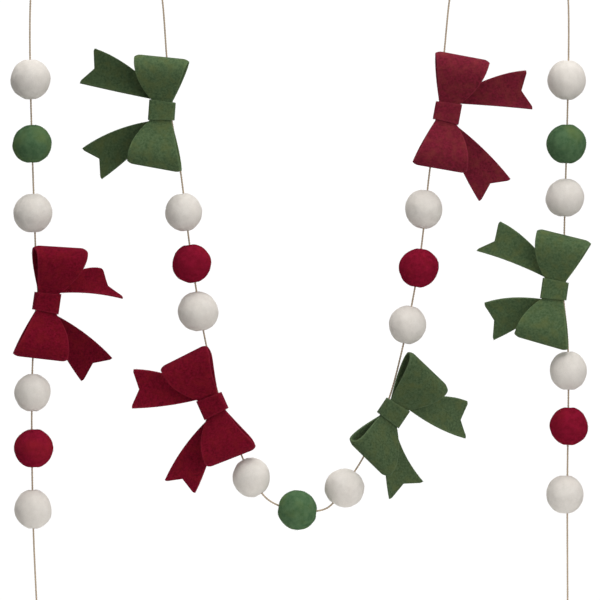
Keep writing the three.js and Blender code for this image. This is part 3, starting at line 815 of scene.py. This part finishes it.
def wrap_grid(columns):
    """The waist strip's middle: once round the waist, its end lapped over its start at the back."""
    half_width = (WAIST["string"] + WAIST["tails"]) / 2 + WRAP_SLACK + WRAP_FELT / 2
    depth = LAYER + FELT / 2 + WRAP_CLEAR + WRAP_FELT / 2
    near, far, over = -half_width - WRAP_BULGE, half_width, depth + WRAP_FELT + LAP_GAP
    path = [(LAP_START - half_width, depth)]
    for x, y, start in ((far, depth, 90), (far, -depth, 0), (near, -depth, 270), (near, over, 180)):
        centre = (x - math.copysign(WRAP_CORNER, x), y - math.copysign(WRAP_CORNER, y))
        for step in range(7):
            angle = math.radians(start - 15 * step)
            path.append((centre[0] + WRAP_CORNER * math.cos(angle),
                         centre[1] + WRAP_CORNER * math.sin(angle)))
    path.append((LAP_END, over))
    fine = []
    for a, b in zip(np.array(path), np.array(path[1:])):
        steps = max(1, int(np.linalg.norm(b - a) / WRAP_STEP))
        fine += [a + (b - a) * s / steps for s in range(steps)]
    fine = np.array([*fine, path[-1]]) + np.array([(WAIST["tails"] - WAIST["string"]) / 2, 0])
    v = np.linspace(-1, 1, columns)
    grid = np.zeros((len(fine), columns, 3))
    grid[:, :, :2] = fine[:, None]
    grid[:, :, 2] = v * (WRAP_HALF_HEIGHT + WRAP_FLARE * fine[:, :1])
    return grid


def place_bow(grid, turn, origin):
    return grid @ np.array(turn).T + np.array(origin)


for index, (name, colour, seat, heading, turned, fore, aft, fore_tail, aft_tail) in enumerate(BOWS):
    faced = Matrix.Rotation(math.radians(heading), 3, "Y")
    turn = faced @ Matrix.Rotation(math.radians(turned), 3, "Z")
    origin = Vector(seat) * MM - turn @ STRING_SEAT
    prefix = "bow_" + name.replace("-", "_")
    material = craft[DYE_LOTS.get(name, colour)]

    grid = place_bow(wrap_grid(WRAP_COLUMNS), turn, origin)
    wrap = felt_piece(
        f"{prefix}_wrap", grid, material, seed=300 + index, half=WRAP_FELT / 2, hairs=90)
    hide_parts(f"bow-{name}-wrap")

    upper = loop_grid(dict(zip(LOOP_VALUES, fore)), LOOP_ROWS, LOOP_COLUMNS)
    lower = loop_grid(dict(zip(LOOP_VALUES, aft)), LOOP_ROWS, LOOP_COLUMNS)[::-1]
    lower[:, :, 2] *= -1
    grid = place_bow(np.vstack([upper, lower]), turn, origin)
    loops = felt_piece(f"{prefix}_loops", grid, material, seed=100 + index, round_ends=False)
    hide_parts(f"bow-{name}-loops")

    first = tail_grid(dict(zip(TAIL_VALUES, aft_tail)), -1, TAIL_ROWS, TAIL_COLUMNS)[::-1]
    second = tail_grid(dict(zip(TAIL_VALUES, fore_tail)), 1, TAIL_ROWS, TAIL_COLUMNS)[1:]
    grid = place_bow(np.vstack([first, second]), turn, origin)
    tails = felt_piece(f"{prefix}_tails", grid, material, seed=200 + index, painted_shading=PAINTED_TAIL_SHADING[name])
    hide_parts(f"bow-{name}-tails")

    for piece in (wrap, loops, tails):
        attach(piece, "root")

# The garland hangs clear of a pale studio floor, in soft light from above and from the front.
# The room behind is as white as the floor, so that its edge doesn't show.
FLOOR_RADIUS = 0.42
FLOOR_DROP = 0.12
# Place, size and power.
LAMPS = [
    ((0, -0.55, 2.5), 2.6, 78),
    ((1.0, -1.5, 0.1), 1.4, 19),
    ((-0.9, -1.6, 0.3), 1.4, 3.5),
]
bpy.ops.object.select_all(action="DESELECT")
bpy.ops.mesh.primitive_circle_add(
    vertices=96, radius=FLOOR_RADIUS, fill_type="NGON",
    location=(0, 0, cad_box[0].z - FLOOR_DROP))
floor = bpy.context.object
floor.name = "studio_floor"
pale, nodes, links, surface = shader("studio-floor")
surface.inputs["Roughness"].default_value = 0.9
surface.inputs["Base Color"].default_value = (0.93, 0.93, 0.93, 1)
floor.data.materials.append(pale)

for place, size, power in LAMPS:
    bpy.ops.object.light_add(type="AREA", location=place)
    lamp = bpy.context.object
    lamp.data.shape, lamp.data.size, lamp.data.energy = "SQUARE", size, power
    aim = Vector(VIEW_MIDDLE) - Vector(place)
    lamp.rotation_euler = aim.to_track_quat("-Z", "Y").to_euler()

# The room is dimmer in front of the garland than behind it, but the camera sees it evenly white.
world = bpy.data.worlds.new("studio")
world.use_nodes = True
bpy.context.scene.world = world
nodes, links = world.node_tree.nodes, world.node_tree.links
nodes.clear()
seen = nodes.new("ShaderNodeBackground")
seen.inputs["Strength"].default_value = 1.05
lighting = nodes.new("ShaderNodeBackground")
direction = nodes.new("ShaderNodeTexCoord")
axes = nodes.new("ShaderNodeSeparateXYZ")
wall = nodes.new("ShaderNodeMapRange")
wall.inputs["From Min"].default_value = -0.1
wall.inputs["From Max"].default_value = 0.5
wall.inputs["To Min"].default_value = 0.15
wall.inputs["To Max"].default_value = 0.6
links.new(direction.outputs["Generated"], axes.inputs["Vector"])
links.new(axes.outputs["Y"], wall.inputs["Value"])
links.new(wall.outputs["Result"], lighting.inputs["Strength"])
eye = nodes.new("ShaderNodeLightPath")
either = nodes.new("ShaderNodeMixShader")
result = nodes.new("ShaderNodeOutputWorld")
links.new(eye.outputs["Is Camera Ray"], either.inputs["Fac"])
links.new(lighting.outputs["Background"], either.inputs[1])
links.new(seen.outputs["Background"], either.inputs[2])
links.new(either.outputs["Shader"], result.inputs["Surface"])
for background in (seen, lighting):
    background.inputs["Color"].default_value = (1, 1, 1, 1)
bpy.context.scene.view_settings.view_transform = "Standard"
